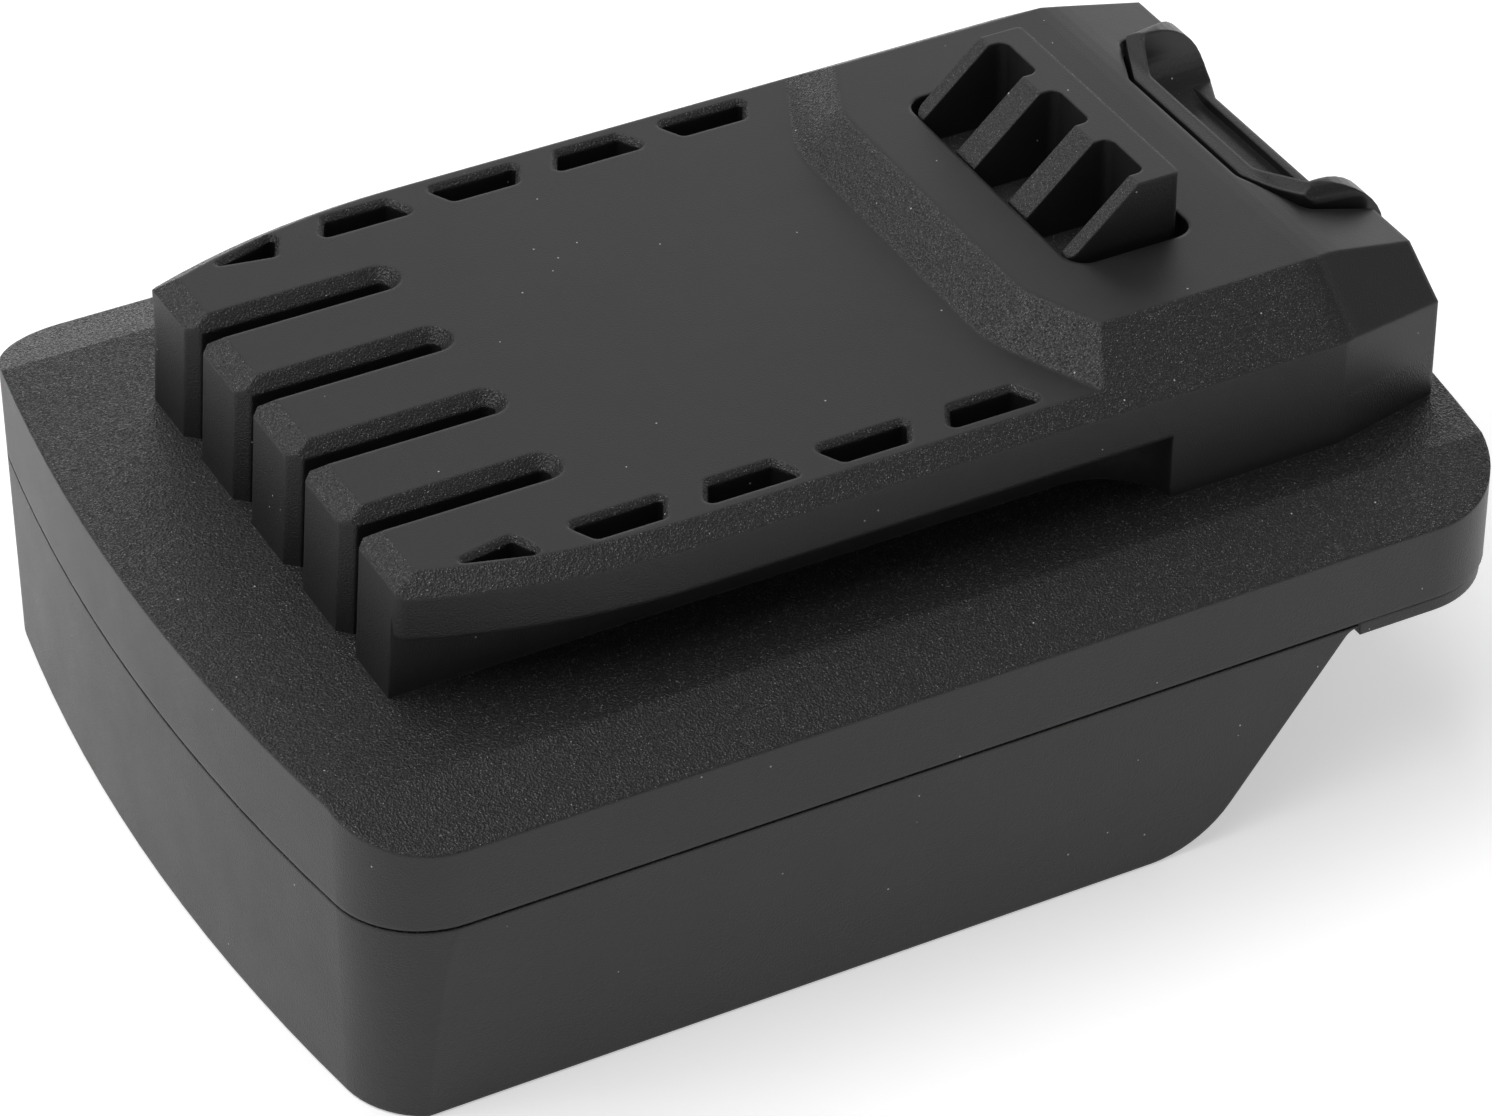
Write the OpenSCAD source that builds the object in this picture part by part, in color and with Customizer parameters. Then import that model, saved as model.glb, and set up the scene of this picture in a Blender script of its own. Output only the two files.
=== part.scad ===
// Slide-on adapter between a cordless tool and a battery pack of another system.
// X runs from the terminal fingers (-X) to the latch (+X), Z is up, and the origin is at
// the middle of the underside. Sizes are in millimetres.

/* [Case] */
// Length over the two bowed ends
case_l = 109; // [106:1:120]
// Width across the flanks
case_w = 80; // [78:1:90]
// Radius of the bow of both ends
end_bow_r = 214; // [170:2:400]
// Radius of the front corners in plan
front_corner_r = 8; // [5:0.5:11]
// Radius of the rear corners in plan
rear_corner_r = 8.5; // [5:0.5:10]
// Wall thickness of the mouldings
wall_t = 2.4; // [2:0.1:2.8]
// Height of the seam above the ground
seam_h = 18.8; // [17.5:0.1:24]
// Height of the cover's upright wall
cover_wall_h = 7.1; // [6.8:0.1:10]
// Rise of the sloping shoulder
shoulder_rise = 2.1; // [1.6:0.1:3]
// Width of the sloping shoulder
shoulder_run = 7.2; // [5:0.1:8.4]
// Lean of each lower flank towards its foot
flank_draft = 0.9; // [0.1:0.1:1.4]
// Height of the shadow gap at the seam
seam_gap = 0.25; // [0.1:0.05:0.5]
// Depth of the shadow gap
seam_depth = 1; // [0.5:0.1:1.6]

/* [Battery socket] */
// Thickness of the socket's walls
socket_wall_t = 3; // [2.4:0.1:4]
// Thickness of the partition over the socket
roof_t = 2; // [1.6:0.1:2.6]
// Thickness of the rails in the socket
socket_rail_t = 3.6; // [2.5:0.1:5]
// How far the rails stand into the socket
socket_rail_w = 5; // [3:0.1:6]
// Length of the tail behind the swept flanks
tail_l = 18.4; // [17.6:0.1:21]
// Angle of the sweep above the ground
sweep_angle = 55; // [45:1:65]
// Radius from the foot into the sweep
sweep_foot_r = 9; // [3:0.5:12]
// Radius from the sweep into the tail
sweep_top_r = 1.4; // [0.8:0.1:2.4]
// Thickness of the thin edge above the sweep
sweep_edge_t = 0.4; // [0.3:0.05:0.8]
// Thickness of the rear plate
rear_plate_t = 1.45; // [1.3:0.05:2]
// Width of the window for the battery's catch
catch_w = 20; // [12:0.5:24]
// Length of the window for the battery's catch
catch_l = 4.8; // [4.4:0.1:5.2]

/* [Tool rail] */
// From the front end of the case to the finger faces
rail_setback = 12.2; // [10:0.1:14]
// Width of the neck between the rail grooves
neck_w = 45.8; // [44.6:0.1:47]
// Height of the rail grooves
groove_h = 6; // [5:0.1:7]
// Width over the two rail lips
lip_w = 57.2; // [56:0.1:58]
// Height of the upright face of the lips
lip_h = 3.95; // [3.6:0.05:4.4]
// Rise of the sloping edge of the rail plate
edge_rise = 1.3; // [1.2:0.05:1.4]
// Run of the sloping edge of the rail plate
edge_run = 1.92; // [1.8:0.02:2.1]
// Radius of the flare that narrows the lips to the front
lip_flare_r = 63; // [60:1:120]
// Length of the flared stretch
lip_flare_l = 24.3; // [18:0.1:25]
// Radius of the front corners of the lips
nose_r = 1.5; // [0.5:0.1:2.5]
// Lean of the finger faces over the height of the rail
finger_draft = 0.85; // [0.2:0.05:1.2]
// Length of the slope on the finger noses
nose_l = 2; // [1:0.1:3]
// Drop of the slope on the finger noses
nose_drop = 0.95; // [0.5:0.05:1.4]
// Radius where the neck meets the rail stop
stop_r = 7; // [3:0.1:8]

/* [Terminals] */
// Pitch of the tool's terminals
terminal_pitch = 10; // [9.5:0.1:10.5]
// Width of the terminal slots
slot_w = 1.7; // [1.5:0.1:2.2]
// Length of the terminal slots
slot_l = 18.1; // [17.8:0.1:19]
// Chamfer round the terminal slots
slot_edge = 1.05; // [0.5:0.05:1.2]
// Sheet thickness of the spring clips
clip_t = 0.6; // [0.4:0.1:0.8]
// Height of the spring clips
clip_h = 5.5; // [4.5:0.1:6]
// Length of the spring clips
clip_l = 10.4; // [9.6:0.1:10.8]
// Opening between the jaws of a clip
clip_jaw = 0.7; // [0.5:0.1:0.9]
// Thickness of the clip carrier
carrier_t = 2.4; // [2:0.1:2.6]
// Height of the pads under the clips
carrier_pad_h = 3; // [2.6:0.1:3.4]
// Pitch of the battery-side blades
blade_pitch = 12; // [11:0.1:12.5]
// Thickness of the blades
blade_t = 1; // [0.8:0.1:1.2]
// Height of the blades
blade_h = 6; // [5:0.1:7]
// Length of the blades in front of their block
blade_l = 16; // [12:0.5:18]
// Width of the tails on the blades
blade_tail_w = 4.5; // [4:0.1:5]
// Length of the terminal block
terminal_block_l = 9; // [8.5:0.1:9.5]
// Height of the terminal block
terminal_block_h = 12.3; // [11.5:0.1:13]
// Diameter of the two power wires
power_wire_d = 2.2; // [1.8:0.1:2.4]
// Diameter of the two signal wires
signal_wire_d = 1.4; // [1:0.1:1.6]

/* [Edge pockets] */
// Long side of a pocket
pocket_long = 9.6; // [9:0.1:9.8]
// Short side of a pocket
pocket_short = 6.2; // [5.4:0.1:6.6]
// Width of a pocket
pocket_w = 3.3; // [2.8:0.1:3.5]
// Pitch of the pockets
pocket_pitch = 10.8; // [10.4:0.1:11]
// Depth of a pocket
pocket_depth = 3.4; // [2:0.1:3.6]
// Flat between a pocket and the sloping edge
pocket_margin = 0.9; // [0.7:0.1:1.2]
// From the finger faces to the middle of the first full pocket
pocket_start = 19.9; // [19.4:0.1:20.4]
// Corner radius of a pocket's mouth
pocket_r = 0.8; // [0.6:0.05:1]
// Soft edge round a pocket's mouth
pocket_edge = 0.45; // [0.3:0.05:0.5]
// From the middle of the pointed end pocket to its tip
end_pocket_tip = 4.4; // [3.9:0.1:4.6]

/* [Latch block] */
// Rise of the block above the rail plate
block_rise = 3; // [2.4:0.1:3.8]
// Length of the block at its foot
block_l = 37; // [36:0.1:40]
// Run of the block's front slope
block_slope_l = 3.8; // [3:0.1:5]
// Width of the straight part of the front slope
brow_w = 32; // [28:0.5:36]
// Turn of the front slope towards the flanks
brow_angle = 24; // [15:1:32]
// Bend radius between the straight part and the turned parts
brow_bend_r = 12; // [6:0.5:16]
// From the rail stop to the rear face of the block
stop_l = 26.5; // [26:0.1:28]
// Ledge of the deck behind the block
rear_ledge = 3.2; // [3:0.1:4]
// Length over which the block narrows to the rear
taper_l = 10.4; // [8:0.1:14]
// Narrowing of each flank over that length
taper_in = 2.4; // [1:0.1:2.8]
// Turn of the slanted rear corners from the flanks
facet_angle = 19; // [14:1:26]
// Length over which the rear corners slant off
facet_l = 9.6; // [8.4:0.1:10.4]
// Drop of the slanted rear corners over one millimetre
facet_grade = 0.73; // [0.68:0.01:0.8]
// Length over which the block's top slopes down to the rear
fall_l = 8.7; // [7.5:0.1:9.5]
// Drop of the block's top at its rear edge
fall_drop = 1.8; // [1:0.05:2]

/* [Latch] */
// Height of the latch above the block
latch_h = 5.25; // [4.5:0.05:5.5]
// Width of the latch
latch_w = 25.9; // [25.2:0.1:26.4]
// Length of the flat top of the latch
latch_top_l = 4.1; // [3.5:0.1:4.5]
// Run of the latch's ramp
latch_ramp_l = 6.2; // [5.5:0.1:6.8]
// From the latch's rear face to the rear face of the block
latch_setback = 17; // [16.4:0.1:17.4]
// Pitch of the three grooves in the ramp
groove_pitch = 8.65; // [8.4:0.05:9]
// Width of the grooves in the ramp
groove_w = 5.7; // [5:0.1:6.2]
// How far the grooves run into the flat top
groove_run = 1.6; // [1:0.1:2.4]
// Travel of the latch and the button
latch_travel = 5.2; // [4:0.1:5.4]
// Thickness of the latch's flange
flange_t = 2.4; // [2:0.1:2.6]

/* [Release button] */
// Length of the notch for the button
notch_l = 8.85; // [8.4:0.05:9.2]
// Width of the notch at its front edge
notch_front_w = 17.2; // [15:0.2:19]
// Width of the notch behind its slanted sides
notch_mid_w = 30.2; // [29:0.2:31]
// Length of the slanted sides of the notch
notch_mid_l = 2.85; // [2.4:0.05:3.4]
// Splay of the notch over one millimetre of its length
notch_splay = 0.15; // [0:0.01:0.2]
// Gap round the button
button_gap = 0.5; // [0.3:0.05:0.7]
// Width of the button's rim
rim_w = 1.4; // [1.2:0.1:1.8]
// Height of the ears above the block
ear_rise = 0.7; // [0.4:0.05:1]
// How far the ears stand out to the rear
ear_out = 1.4; // [1.2:0.05:1.8]
// Depth of the thumb scoop below the block's top
scoop_depth = 5.65; // [5:0.05:6]
// Width of the scoop's floor
scoop_w = 26; // [24:0.2:26.4]
// Thickness of the button's floor and skirt
button_t = 1.7; // [1.4:0.1:1.9]

/* [Springs] */
// Outer diameter of the latch springs
spring_d = 6; // [5.6:0.1:6.4]
// Diameter of the spring wire
spring_wire = 0.7; // [0.5:0.05:0.8]
// Turns of each spring
spring_turns = 6; // [5:1:7]
// Distance between the springs
spring_span = 17; // [15:0.5:19]

/* [Screws] */
// Outer diameter of the screw bosses
boss_d = 7; // [6.5:0.1:7.5]
// Shank diameter of the case screws
case_screw_d = 2.8; // [2.4:0.1:3]
// Shank diameter of the small screws
small_screw_d = 2.2; // [2:0.1:2.4]
// Distance across between the case screws
case_screw_span = 54; // [53:0.5:58]

/* [Hidden] */

$fn = 64;
large_fn = 720;
// Reach of cutting and trimming shapes past the part
far = 150;
// Overlap that joins two shapes of one moulding
sink = 0.5;
// Running clearance of moving pieces
run_gap = 0.3;
// Clearance of pieces that are pushed together
fit_gap = 0.1;
// Number of terminals on each side
terminals = 4;

// Heights of the case, the rail and the block
half_w = case_w / 2;
front_x = -case_l / 2;
rear_x = case_l / 2;
wall_top_z = seam_h + cover_wall_h;
deck_z = wall_top_z + shoulder_rise;
under_deck_z = deck_z - wall_t;
lip_z = deck_z + groove_h;
lip_top_z = lip_z + lip_h;
plate_z = lip_top_z + edge_rise;
block_z = plate_z + block_rise;
under_block_z = block_z - wall_t;

// Plan of the rail and the block
finger_x = front_x + rail_setback;
flare_x = finger_x + lip_flare_l;
slot_end_x = finger_x + slot_l;
finger_lean = finger_draft / (plate_z - deck_z);
nose_z = plate_z - nose_drop;
nose_x = finger_x + finger_lean * (nose_z - deck_z);
neck_half = neck_w / 2;
lip_half = lip_w / 2;
edge_grade = edge_run / edge_rise;
block_top_half = lip_half - edge_grade * (block_z - lip_top_z);
block_in_half = block_top_half - wall_t;
block_rear_x = rear_x - rear_ledge;
block_foot_x = block_rear_x - block_l;
block_top_x = block_foot_x + block_slope_l;
stop_x = block_rear_x - stop_l;
block_soft_r = 1.2;
fall_turn = atan(fall_drop / fall_l);
fall_soft = 1.6;
fall_r = fall_soft / tan(fall_turn / 2);

// Socket and sweep
roof_z = seam_h - roof_t;
socket_half = half_w - flank_draft - socket_wall_t;
tail_x = rear_x - tail_l;
rear_plate_x = tail_x + run_gap;
tongue_h = 1.5;
tongue_t = 1.2;
catch_x = rear_plate_x + 1.2;

// Screw places
case_screw_front_x = front_x + 14.5;
case_screw_rear_x = rear_x - 32.5;
case_screw_head_d = 5.6;
case_screw_head_h = 2.2;
case_seat_t = 2;
case_seat_z = seam_h + 0.5;
cup_z = case_seat_z + case_seat_t;
cup_wall = 1.2;
plate_screw_x = rear_x - 9.5;
small_head_d = 4.4;
small_head_h = 1.6;
pilot_play = 0.1;
hole_play = 0.4;

// Clips and their carrier
chamber_half = 3.2;
chamber_x = finger_x + 4.6;
chamber_end_x = slot_end_x - run_gap;
clip_back_x = chamber_end_x - 1.4;
clip_front_x = clip_back_x + clip_t - clip_l;
clip_half = 2;
clip_z = under_deck_z + carrier_pad_h;
clip_tail_w = 4;
chamber_z = clip_z + clip_h + 2 * run_gap;
neck_space_x = slot_end_x + 8;
carrier_z = under_deck_z - carrier_t;
carrier_x = chamber_x - 1;
carrier_end_x = neck_space_x - 0.5;
carrier_half = terminal_pitch * (terminals - 1) / 2 + 5.3;
carrier_screw_x = slot_end_x + 4;
carrier_screw_l = 7.5;

// Terminal block and blades
terminal_block_x = front_x + 5.5;
terminal_block_end_x = terminal_block_x + terminal_block_l;
terminal_block_half = blade_pitch * (terminals - 1) / 2 + 5;
terminal_block_z = roof_z - terminal_block_h;
blade_x = terminal_block_x + 2;
blade_tail_x = blade_x + blade_tail_w;
blade_end_x = terminal_block_end_x + blade_l;
blade_z = terminal_block_z + 3;
tail_top_z = seam_h + 4;
terminal_screw_x = terminal_block_x + terminal_block_l / 2;
terminal_screw_l = roof_t + 6;
wire_z = seam_h + 2.3;
wire_bow = 0.5;
wire_rings = 9;
wire_sides = 8;

// Latch
latch_x = block_rear_x - latch_setback;
latch_front_x = latch_x - latch_top_l - latch_ramp_l;
latch_z = block_z + latch_h;
ramp_foot_z = block_z - run_gap;
flange_top_z = under_block_z - run_gap;
flange_z = flange_top_z - flange_t;
opening_front_x = latch_front_x - 0.4;
opening_rear_x = latch_x + 0.95;
opening_half = latch_w / 2 + 1.45;
opening_r = 2;
flange_half = opening_half + wall_t;
flange_front_x = opening_front_x - 1.8;
guide_x = latch_front_x + 2;
guide_l = 3;
groove_r = 0.9;
latch_soft_r = 0.3;
latch_corner_r = 0.8;

// Release button
notch_x = block_rear_x - notch_l;
notch_mid_x = notch_x + notch_mid_l;
notch_r = 1.6;
notch_end_x = block_rear_x + 0.25;
button_rear_x = notch_end_x - button_gap;
rim_z = block_z - 0.1;
ear_z = block_z + ear_rise;
ear_x = block_rear_x + ear_out;
ear_start_x = notch_x + 2;
ear_slope_l = 2;
ear_r = 5.2;
ear_soft_r = 2.5;
ear_edge_r = 1.3;
ear_wall_y = notch_mid_w / 2 - button_gap / cos(atan(notch_splay));
arc_flats = 9;
corner_flats = 5;
pocket_flats = 4;
slope_flats = 3;
brow_flats = 4;
screw_cover = wall_t;
scoop_z = block_z - scoop_depth;
scoop_r = 4;
scoop_flare = 0.03;
thumb_edge_h = 0.8;
thumb_edge_t = 0.8;
thumb_x = block_rear_x + 0.3;
thumb_half = 9;
thumb_splay = 2.4;
button_under_z = scoop_z - button_t;
skirt_half = notch_mid_w / 2 - 0.5;
skirt_z = seam_h + latch_travel + run_gap;
button_foot_x = notch_x - 5.8;
button_foot_half = notch_front_w / 2;
stake_x = notch_x - 3.3;
stake_y = 5.5;
stake_d = 3;

// Springs
spring_x = block_rear_x - 5.2;
spring_y = spring_span / 2;
spring_post_d = spring_d - 2 * spring_wire - 1.2;
spring_post_h = 3.5;
spring_boss_h = 1.6;
spring_rings = 8;
spring_sides = 6;

plastic_black = [0.10, 0.10, 0.10];
plastic_dark = [0.14, 0.14, 0.14];
plastic_inner = [0.20, 0.20, 0.21];
copper_tin = [0.78, 0.72, 0.60];
steel = [0.62, 0.63, 0.65];
wire_colours = ["red", "yellow", "white", [0.16, 0.16, 0.16]];

// Small helpers
function unit(v) = v / norm(v);
function item(list, i) = list[(i + len(list)) % len(list)];
function terminal_y(i) = (i - (terminals - 1) / 2) * terminal_pitch;
function blade_y(i) = (i - (terminals - 1) / 2) * blade_pitch;
function is_power(i) = i == 0 || i == terminals - 1;
function wire_r(i) = (is_power(i) ? power_wire_d : signal_wire_d) / 2;

module along_x(low, high) {
    translate([low, 0, 0]) rotate([90, 0, 90]) linear_extrude(high - low) children();
}

module along_y(low, high) {
    translate([0, high, 0]) rotate([90, 0, 0]) linear_extrude(high - low) children();
}

module along_z(low, high) {
    translate([0, 0, low]) linear_extrude(high - low) children();
}

module both_sides() {
    children();
    mirror([0, 1, 0]) children();
}

// Rectangle from its two corners
module span(low, high) {
    translate(low) square(high - low);
}

// Centre of a corner's arc and its two tangent points
function corner_arc(a, p, b, r) =
    let (u = unit(a - p), v = unit(b - p), half = acos(u * v) / 2)
    [p + unit(u + v) * r / sin(half), p + u * r / tan(half), p + v * r / tan(half)];
function is_hollow(a, p, b) = cross(p - a, b - p) < 0;

// What an outer corner loses to its arc
module corner_waste(a, p, b, r) {
    arc = corner_arc(a, p, b, r);
    n1 = (arc[1] - arc[0]) / r;
    n2 = (arc[2] - arc[0]) / r;
    over = 0.2;
    difference() {
        polygon([arc[0], arc[1] + over * n1, p + over * (n1 + n2) / (1 + n1 * n2), arc[2] + over * n2]);
        translate(arc[0]) circle(r);
    }
}

// Outline, drawn anticlockwise, with an arc of its own radius at each corner
module rounded(points, radii) {
    last = len(points) - 1;
    path = [
        for (i = [0 : last])
            let (a = item(points, i - 1), p = points[i], b = item(points, i + 1))
            each radii[i] > 0 && is_hollow(a, p, b)
                ? let (arc = corner_arc(a, p, b, radii[i])) [arc[1], arc[0], arc[2]]
                : [p]
    ];
    difference() {
        polygon(path);
        for (i = [0 : last]) {
            a = item(points, i - 1);
            b = item(points, i + 1);
            if (radii[i] > 0 && is_hollow(a, points[i], b))
                translate(corner_arc(a, points[i], b, radii[i])[0]) circle(radii[i]);
            else if (radii[i] > 0)
                corner_waste(a, points[i], b, radii[i]);
        }
    }
}

module rounded_span(low, high, r) {
    rounded([low, [high[0], low[1]], high, [low[0], high[1]]], [r, r, r, r]);
}

// Outline moved inwards by one distance all round
function inset(points, d) = [
    for (i = [0 : len(points) - 1])
        let (
            e1 = unit(points[i] - item(points, i - 1)),
            e2 = unit(item(points, i + 1) - points[i]),
            n1 = [-e1[1], e1[0]],
            n2 = [-e2[1], e2[0]]
        )
        points[i] + d * (n1 + n2) / (1 + n1 * n2)
];

// Points along an arc
function arc_line(c, r, start, end, flats) = [
    for (k = [0 : flats])
        let (a = start + (end - start) * k / flats)
        c + r * [cos(a), sin(a)]
];

// Points of a corner's arc, drawn as flats
function corner_line(a, p, b, r, flats) =
    let (
        arc = corner_arc(a, p, b, r),
        d1 = arc[1] - arc[0],
        d2 = arc[2] - arc[0],
        start = atan2(d1[1], d1[0]),
        turn = atan2(cross(d1, d2), d1 * d2)
    )
    arc_line(arc[0], r, start, start + turn, flats);

// Outline with the corners of given radii drawn as flats
function soft_outline(points, radii, flats) = [
    for (i = [0 : len(points) - 1])
        each radii[i] > 0
            ? corner_line(item(points, i - 1), points[i], item(points, i + 1), radii[i], flats)
            : [points[i]]
];

// Tube swept along points, round from one ring to the next
module tube(points, tangents, r, sides) {
    rings = [
        for (i = [0 : len(points) - 1])
            let (t = unit(tangents[i]), b = unit(cross(t, [0, 0, 1])), n = cross(b, t))
            for (k = [0 : sides - 1])
                points[i] + r * (cos(360 * k / sides) * n + sin(360 * k / sides) * b)
    ];
    last = (len(points) - 1) * sides;
    sleeve = [
        for (i = [0 : len(points) - 2], k = [0 : sides - 1])
            let (a = i * sides + k, b = i * sides + (k + 1) % sides)
            each [[a, a + sides, b + sides], [a, b + sides, b]]
    ];
    start = [for (k = [1 : sides - 2]) [0, k, k + 1]];
    end = [for (k = [1 : sides - 2]) [last, last + k + 1, last + k]];
    polyhedron(rings, concat(sleeve, start, end), convexity = 8);
}

// Plan of the case: bowed ends, straight flanks and four round corners
module case_corner(x_sign, r, d) {
    bow_x = x_sign * (case_l / 2 - end_bow_r);
    c = [bow_x + x_sign * sqrt((end_bow_r - r) ^ 2 - (half_w - r) ^ 2), half_w - r];
    away = unit(c - [bow_x, 0]);
    reach = r + 6;
    difference() {
        polygon([c, c + [0, reach], c + [x_sign * reach, reach], c + reach * away]);
        translate(c) circle(r - d);
    }
}

module case_outline(d = 0) {
    difference() {
        intersection() {
            translate([front_x + end_bow_r, 0]) circle(end_bow_r - d, $fn = large_fn);
            translate([rear_x - end_bow_r, 0]) circle(end_bow_r - d, $fn = large_fn);
            span([-case_l, d - half_w], [case_l, half_w - d]);
        }
        both_sides() {
            case_corner(-1, front_corner_r, d);
            case_corner(1, rear_corner_r, d);
        }
    }
}

// Cover: the case part with its sloping shoulders
module cover_base() {
    intersection() {
        along_z(seam_h, deck_z) case_outline();
        along_x(front_x - 1, rear_x + 1) polygon([
            [-half_w, seam_h], [half_w, seam_h], [half_w, wall_top_z],
            [deck_half(), deck_z], [-deck_half(), deck_z], [-half_w, wall_top_z]
        ]);
    }
}
function deck_half() = half_w - shoulder_run;

// Cover: one flank of the rail, straight and then flared to the front
module flank_keep() {
    low = deck_z - sink;
    top_in = edge_grade * (block_z - lip_top_z);
    along_x(flare_x, rear_x) polygon([
        [-far, low], [lip_half, low], [lip_half, lip_top_z], [lip_half - top_in, block_z], [-far, block_z]
    ]);
    intersection() {
        translate([flare_x, lip_half - lip_flare_r, 0]) rotate_extrude($fn = large_fn) polygon([
            [0, low], [lip_flare_r, low], [lip_flare_r, lip_top_z], [lip_flare_r - top_in, block_z], [0, block_z]
        ]);
        translate([finger_x - 1, -far, low - 1]) cube([flare_x - finger_x + 1, 2 * far, block_z]);
    }
}

// Cover: waste at the front corner of one lip
module nose_waste() {
    flare_y = lip_half - lip_flare_r;
    in = finger_lean * (lip_top_z + lip_z - 2 * deck_z) / 2 + nose_r;
    c = [finger_x + in, flare_y + sqrt((lip_flare_r - nose_r) ^ 2 - (lip_flare_l - in) ^ 2)];
    reach = nose_r + 3;
    away = unit(c - [flare_x, flare_y]);
    along_z(deck_z, block_z) difference() {
        polygon([c, c + reach * away, c + [-reach, reach], c + [-reach, 0]]);
        translate(c) circle(nose_r);
    }
}

// Stack of outlines with equally many points, closed at both ends
module stack(rings) {
    count = len(rings[0]);
    last = len(rings) - 1;
    polyhedron(
        [for (ring = rings) each ring],
        [
            [for (k = [0 : count - 1]) k],
            [for (k = [0 : count - 1]) (last + 1) * count - 1 - k],
            for (i = [0 : last - 1], k = [0 : count - 1])
                let (low = i * count, high = low + count, next = (k + 1) % count)
                [low + k, high + k, high + next, low + next]
        ]
    );
}
function lift(outline, z) = [for (q = outline) [q[0], q[1], z]];

// Cover: plan of the block at a given distance behind the foot of its front slope
function brow_plan(d) =
    let (
        half = brow_w / 2,
        end_x = block_foot_x + (far - half) * tan(brow_angle),
        foot = [
            [block_foot_x, half], [block_foot_x, -half], [end_x, -far],
            [end_x + far, -far], [end_x + far, far], [end_x, far]
        ]
    )
    soft_outline(inset(foot, d), [brow_bend_r - d, brow_bend_r - d, 0, 0, 0, 0], brow_flats);

// Cover: the block from under the plate up, with its bent front slope and soft edges
module brow_form() {
    foot = corner_line([-far, plate_z], [0, plate_z], [block_slope_l, block_z], block_soft_r, slope_flats);
    crest = corner_line([0, plate_z], [block_slope_l, block_z], [far, block_z], block_soft_r, slope_flats);
    start = 2 * foot[0] - foot[1];
    rise = concat([[start[0], plate_z - 1], start], [for (i = [1 : slope_flats]) foot[i]], crest);
    stack([for (q = rise) lift(brow_plan(q[0]), q[1])]);
}

// Cover: everything under the slanted rear corner, in the slant's own frame
module facet_keep() {
    reach = (block_z - lip_z) / facet_grade;
    along_y(-far, far)
        polygon([[-far, deck_z - 1], [reach, deck_z - 1], [reach, lip_z], [0, block_z], [-far, block_z]]);
}

// Cover: everything under the block's top, which bends softly into the slope at the rear
module fall_keep() {
    along_y(-far, far) polygon(concat(
        [[-far, block_z], [-far, deck_z - 1], [rear_x, deck_z - 1]],
        [[rear_x, block_z - fall_drop * (1 + rear_ledge / fall_l)]],
        arc_line([block_rear_x - fall_l - fall_soft, block_z - fall_r], fall_r, 90 - fall_turn, 90, 3)
    ));
}

// Cover: rails, fingers and latch block before the cuts
module rail_form() {
    rear_half = lip_half - taper_in;
    difference() {
        intersection() {
            along_z(deck_z - sink, block_z) polygon([
                [finger_x, -lip_half], [block_rear_x - taper_l, -lip_half], [block_rear_x, -rear_half],
                [block_rear_x, rear_half], [block_rear_x - taper_l, lip_half], [finger_x, lip_half]
            ]);
            flank_keep();
            mirror([0, 1, 0]) flank_keep();
            union() {
                along_y(-far, far) polygon([
                    [finger_x, deck_z - 1], [block_rear_x, deck_z - 1], [block_rear_x, plate_z],
                    [nose_x + nose_l, plate_z], [nose_x, nose_z], [finger_x, deck_z]
                ]);
                brow_form();
            }
            fall_keep();
            translate([block_rear_x - facet_l, block_top_half, 0]) rotate([0, 0, 90 - facet_angle]) facet_keep();
            translate([block_rear_x - facet_l, -block_top_half, 0]) rotate([0, 0, facet_angle - 90]) facet_keep();
        }
        both_sides() {
            along_z(deck_z, lip_z) rounded(
                [[finger_x - 5, neck_half], [stop_x, neck_half], [stop_x, lip_half + 5], [finger_x - 5, lip_half + 5]],
                [0, stop_r, 0, 0]
            );
            nose_waste();
        }
    }
}

// Cover: the hollow inside
module cover_hollow() {
    in_half = half_w - wall_t;
    in_wall_z = wall_top_z - wall_t * (1 - shoulder_rise / shoulder_run);
    intersection() {
        along_z(seam_h - 1, deck_z) case_outline(wall_t);
        along_x(front_x, rear_x) polygon([
            [-in_half, seam_h - 1], [in_half, seam_h - 1], [in_half, in_wall_z],
            [deck_half(), under_deck_z], [-deck_half(), under_deck_z], [-in_half, in_wall_z]
        ]);
    }
    along_z(under_deck_z - 1, plate_z - wall_t)
        span([neck_space_x, wall_t - neck_half], [block_top_x + wall_t + 1, neck_half - wall_t]);
    along_z(under_deck_z - 1, under_block_z)
        span([block_top_x + wall_t, -block_in_half], [block_rear_x - wall_t, block_in_half]);
    for (i = [0 : terminals - 1])
        along_z(under_deck_z - 1, chamber_z)
            span([chamber_x, terminal_y(i) - chamber_half], [chamber_end_x, terminal_y(i) + chamber_half]);
}

// Cover: one terminal slot with its chamfered edges, open to the front and the top
module terminal_slot() {
    half = slot_w / 2;
    round_x = slot_end_x - half;
    over = 0.5;
    along_z(deck_z, block_z) {
        span([finger_x - 1, -half], [round_x, half]);
        translate([round_x, 0]) circle(half);
    }
    along_x(finger_x - 1, round_x) polygon([
        [-half, plate_z - slot_edge], [half, plate_z - slot_edge],
        [half + slot_edge + over, plate_z + over], [-half - slot_edge - over, plate_z + over]
    ]);
    translate([round_x, 0, plate_z - slot_edge])
        cylinder(h = slot_edge + over, r1 = half, r2 = half + slot_edge + over);
    intersection() {
        translate([finger_x, 0, deck_z]) rotate([0, atan(finger_lean), 0]) along_z(-1, groove_h + lip_h + edge_rise)
            polygon([
                [-over, half + slot_edge + over], [-over, -half - slot_edge - over],
                [slot_edge, -half], [slot_edge, half]
            ]);
        along_z(deck_z, plate_z) span([finger_x - 1, -far], [round_x, far]);
    }
}

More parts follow.
